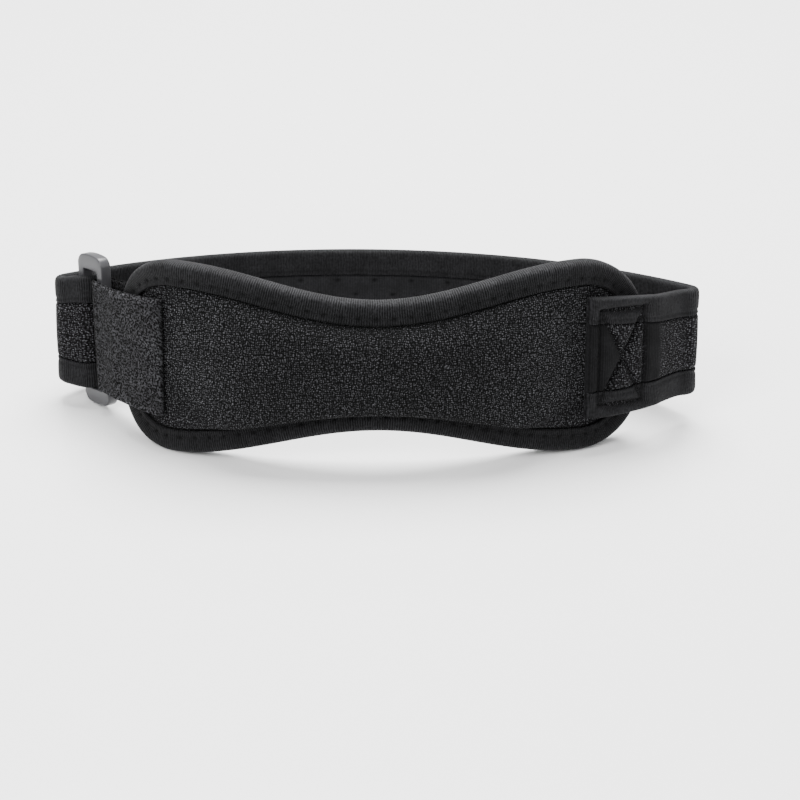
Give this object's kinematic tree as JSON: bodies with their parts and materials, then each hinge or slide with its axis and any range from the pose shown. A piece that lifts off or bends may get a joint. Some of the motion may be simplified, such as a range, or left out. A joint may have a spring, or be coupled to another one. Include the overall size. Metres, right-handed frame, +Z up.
{
  "type": "patella strap",
  "caption": "Padded knee strap with a bound, waisted front pad, an elastic strap round the back and a ring buckle, closed in a loop.",
  "frame": {"origin": "on the ground, under the middle of the loop's box", "axes": "+X to the right seen from the front, +Y to the back, +Z up; the padded front faces -Y"},
  "size_m": [0.195, 0.088, 0.0574],
  "materials": {
    "lining_fabric": "smooth black jersey",
    "cover_knit": "black looped knit, fine pebbled",
    "pad_binding_fabric": "black ribbed elastic binding, stitched",
    "strap_knit": "black looped knit outside, smooth jersey inside",
    "strap_binding_fabric": "black smooth elastic binding, stitched",
    "pile_tape": "dark grey brushed pile",
    "buckle_plastic": "dark grey moulded plastic, satin gloss"
  },
  "bodies": {
    "root": {"inner_panel": "lining_fabric", "front_cover": "cover_knit", "pad_binding": "pad_binding_fabric", "strap_core": "strap_knit", "strap_binding_top": "strap_binding_fabric", "strap_binding_bottom": "strap_binding_fabric", "closure_tape": "pile_tape", "buckle_ring": "buckle_plastic"}
  },
  "joints": []
}
